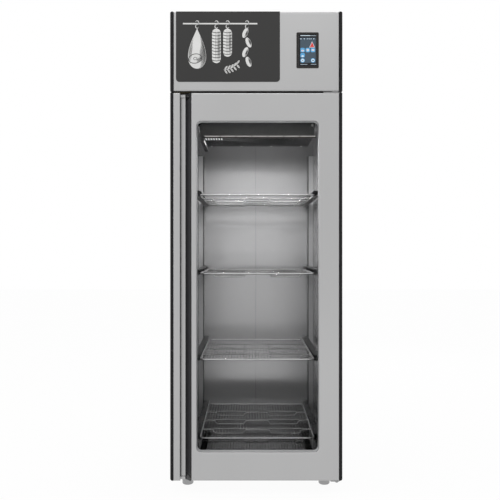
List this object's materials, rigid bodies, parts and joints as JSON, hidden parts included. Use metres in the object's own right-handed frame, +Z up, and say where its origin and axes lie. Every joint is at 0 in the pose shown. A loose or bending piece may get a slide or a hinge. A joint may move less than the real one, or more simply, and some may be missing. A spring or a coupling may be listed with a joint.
{
  "type": "curing cabinet",
  "caption": "Upright cabinet with a right-hinged glass door, wire shelves on racks and a cooling unit, for curing and ageing food.",
  "frame": {"origin": "on the floor under the middle of the cabinet's outline", "axes": "+X to the cabinet's right as seen from the front, +Y to its back, +Z up"},
  "size_m": [0.75, 0.85, 2.105],
  "materials": {
    "steel": "satin",
    "liner_steel": "satin",
    "zinc_sheet": "matte",
    "foam": "matte",
    "dark_trim": "satin",
    "frame_plastic": "satin",
    "seal_rubber": "matte",
    "pane_glass": "polished",
    "spacer_metal": "satin",
    "overlay_film": "satin",
    "bezel_plastic": "gloss",
    "screen_glass": "gloss",
    "shelf_wire": "gloss",
    "rack_steel": "satin",
    "dark_paint": "satin",
    "coil_metal": "satin",
    "fan_plastic": "satin",
    "motor_paint": "satin",
    "lamp_channel": "satin",
    "lamp_lens": "gloss",
    "knob_plastic": "gloss",
    "compressor_paint": "gloss",
    "box_plastic": "satin",
    "pipe_copper": "satin",
    "hinge_steel": "satin",
    "bush_plastic": "satin",
    "foot_steel": "polished"
  },
  "bodies": {
    "root": {"header_panel": "steel", "left_side_panel": "steel", "right_side_panel": "steel", "left_liner": "liner_steel", "right_liner": "liner_steel", "rear_liner": "liner_steel", "ceiling_liner": "liner_steel", "floor_liner": "liner_steel", "rear_panel": "zinc_sheet", "base_panel": "zinc_sheet", "machine_deck": "zinc_sheet", "top_cover": "zinc_sheet", "rear_grille": "zinc_sheet", "condenser_shroud": "zinc_sheet", "foot_sockets": "zinc_sheet", "insulation": "foam", "header_side_strips": "dark_trim", "breaker_frame": "frame_plastic", "graphic_panel": "overlay_film", "controller_bezel": "bezel_plastic", "controller_screen": "screen_glass", "rack_uprights": "rack_steel", "shelf_slides": "rack_steel", "evaporator_housing": "dark_paint", "evaporator_coil": "coil_metal", "condenser_coil": "coil_metal", "evaporator_fan_motors": "motor_paint", "condenser_fan_motor": "motor_paint", "led_channel": "lamp_channel", "led_lenses": "lamp_lens", "housing_knobs": "knob_plastic", "compressor": "compressor_paint", "control_box": "box_plastic", "refrigerant_pipes": "pipe_copper", "top_hinge": "hinge_steel", "bottom_hinge": "hinge_steel"},
    "door": {"door_skin": "steel", "window_reveal": "steel", "outer_glass": "pane_glass", "inner_glass": "pane_glass", "glass_spacer": "spacer_metal", "door_inner_panel": "steel", "door_grip": "steel", "handle_insert": "dark_trim", "door_side_strips": "dark_trim", "hinge_bushes": "bush_plastic", "door_foam": "foam", "door_gasket": "seal_rubber"},
    "shelf_1": {"shelf_1": "shelf_wire"},
    "shelf_2": {"shelf_2": "shelf_wire"},
    "shelf_3": {"shelf_3": "shelf_wire"},
    "shelf_4": {"shelf_4": "shelf_wire"},
    "fan_left": {"evaporator_fan_left": "fan_plastic"},
    "fan_right": {"evaporator_fan_right": "fan_plastic"},
    "fan_condenser": {"condenser_fan": "fan_plastic"},
    "foot_fl": {"foot_front_left": "foot_steel"},
    "foot_rl": {"foot_rear_left": "foot_steel"},
    "foot_fr": {"foot_front_right": "foot_steel"},
    "foot_rr": {"foot_rear_right": "foot_steel"}
  },
  "joints": [
    {"name": "door_swing", "type": "hinge", "parent": "root", "child": "door", "pos_m": [0.354, -0.395, 0.9], "axis": [0, 0, 1], "range_deg": [0, 110]},
    {"name": "shelf_1_slide", "type": "slide", "parent": "root", "child": "shelf_1", "axis": [0, -1, 0], "range_m": [0, 0.07]},
    {"name": "shelf_2_slide", "type": "slide", "parent": "root", "child": "shelf_2", "axis": [0, -1, 0], "range_m": [0, 0.07]},
    {"name": "shelf_3_slide", "type": "slide", "parent": "root", "child": "shelf_3", "axis": [0, -1, 0], "range_m": [0, 0.07]},
    {"name": "shelf_4_slide", "type": "slide", "parent": "root", "child": "shelf_4", "axis": [0, -1, 0], "range_m": [0, 0.07]},
    {"name": "fan_left_spin", "type": "hinge", "parent": "root", "child": "fan_left", "pos_m": [-0.115, 0.0105, 1.64425], "axis": [0, -1, 0], "continuous": true},
    {"name": "fan_right_spin", "type": "hinge", "parent": "root", "child": "fan_right", "pos_m": [0.125, 0.0105, 1.64425], "axis": [0, -1, 0], "continuous": true},
    {"name": "fan_condenser_spin", "type": "hinge", "parent": "root", "child": "fan_condenser", "pos_m": [-0.15, 0.284, 1.9015], "axis": [0, -1, 0], "continuous": true},
    {"name": "foot_fl_height", "type": "slide", "parent": "root", "child": "foot_fl", "axis": [0, 0, -1], "range_m": [0, 0.025]},
    {"name": "foot_rl_height", "type": "slide", "parent": "root", "child": "foot_rl", "axis": [0, 0, -1], "range_m": [0, 0.025]},
    {"name": "foot_fr_height", "type": "slide", "parent": "root", "child": "foot_fr", "axis": [0, 0, -1], "range_m": [0, 0.025]},
    {"name": "foot_rr_height", "type": "slide", "parent": "root", "child": "foot_rr", "axis": [0, 0, -1], "range_m": [0, 0.025]}
  ]
}
